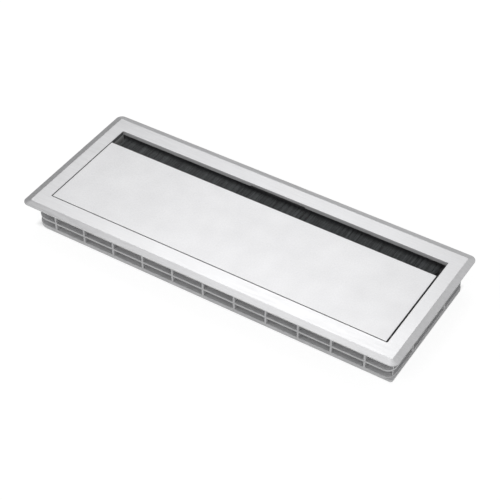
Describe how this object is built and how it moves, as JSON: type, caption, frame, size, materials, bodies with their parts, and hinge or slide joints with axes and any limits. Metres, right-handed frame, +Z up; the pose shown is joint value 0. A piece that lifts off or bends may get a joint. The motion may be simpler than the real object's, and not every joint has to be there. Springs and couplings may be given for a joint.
{
  "type": "cable box lid",
  "caption": "Rectangular desk cable outlet: metal bezel with a flush hinged flap, a brush slot along the flap's rear edge and a ribbed plastic collar below.",
  "frame": {"origin": "centre of the rectangular outline, on the plane of the collar's foot", "axes": "+X along the hinge and the long side, +Y from the hinge side to the brush side, +Z up through the flap"},
  "size_m": [0.3, 0.12, 0.0246],
  "materials": {
    "bezel_metal": "satin, light silver",
    "flap_metal": "fine blasted satin, light silver",
    "collar_plastic": "moulded, mid grey",
    "pin_steel": "ground",
    "channel_steel": "zinc plated",
    "bristle_nylon": "fine black filaments",
    "dark_plastic": "moulded, black",
    "pad_rubber": "soft, black"
  },
  "bodies": {
    "bezel": {"frame": "bezel_metal", "collar": "collar_plastic", "hinge_bush_left": "dark_plastic", "hinge_bush_right": "dark_plastic", "rest_pad_left": "pad_rubber", "rest_pad_right": "pad_rubber"},
    "flap": {"lid": "flap_metal", "hinge_pin_left": "pin_steel", "hinge_pin_right": "pin_steel", "brush_channel": "channel_steel", "brush_core_wire": "pin_steel", "brush_bristles": "bristle_nylon", "groove_plug_left": "dark_plastic", "groove_plug_right": "dark_plastic"}
  },
  "joints": [
    {"name": "lid_hinge", "type": "hinge", "parent": "bezel", "child": "flap", "pos_m": [0, -0.03525, 0.021], "axis": [1, 0, 0], "range_deg": [0, 100]}
  ]
}
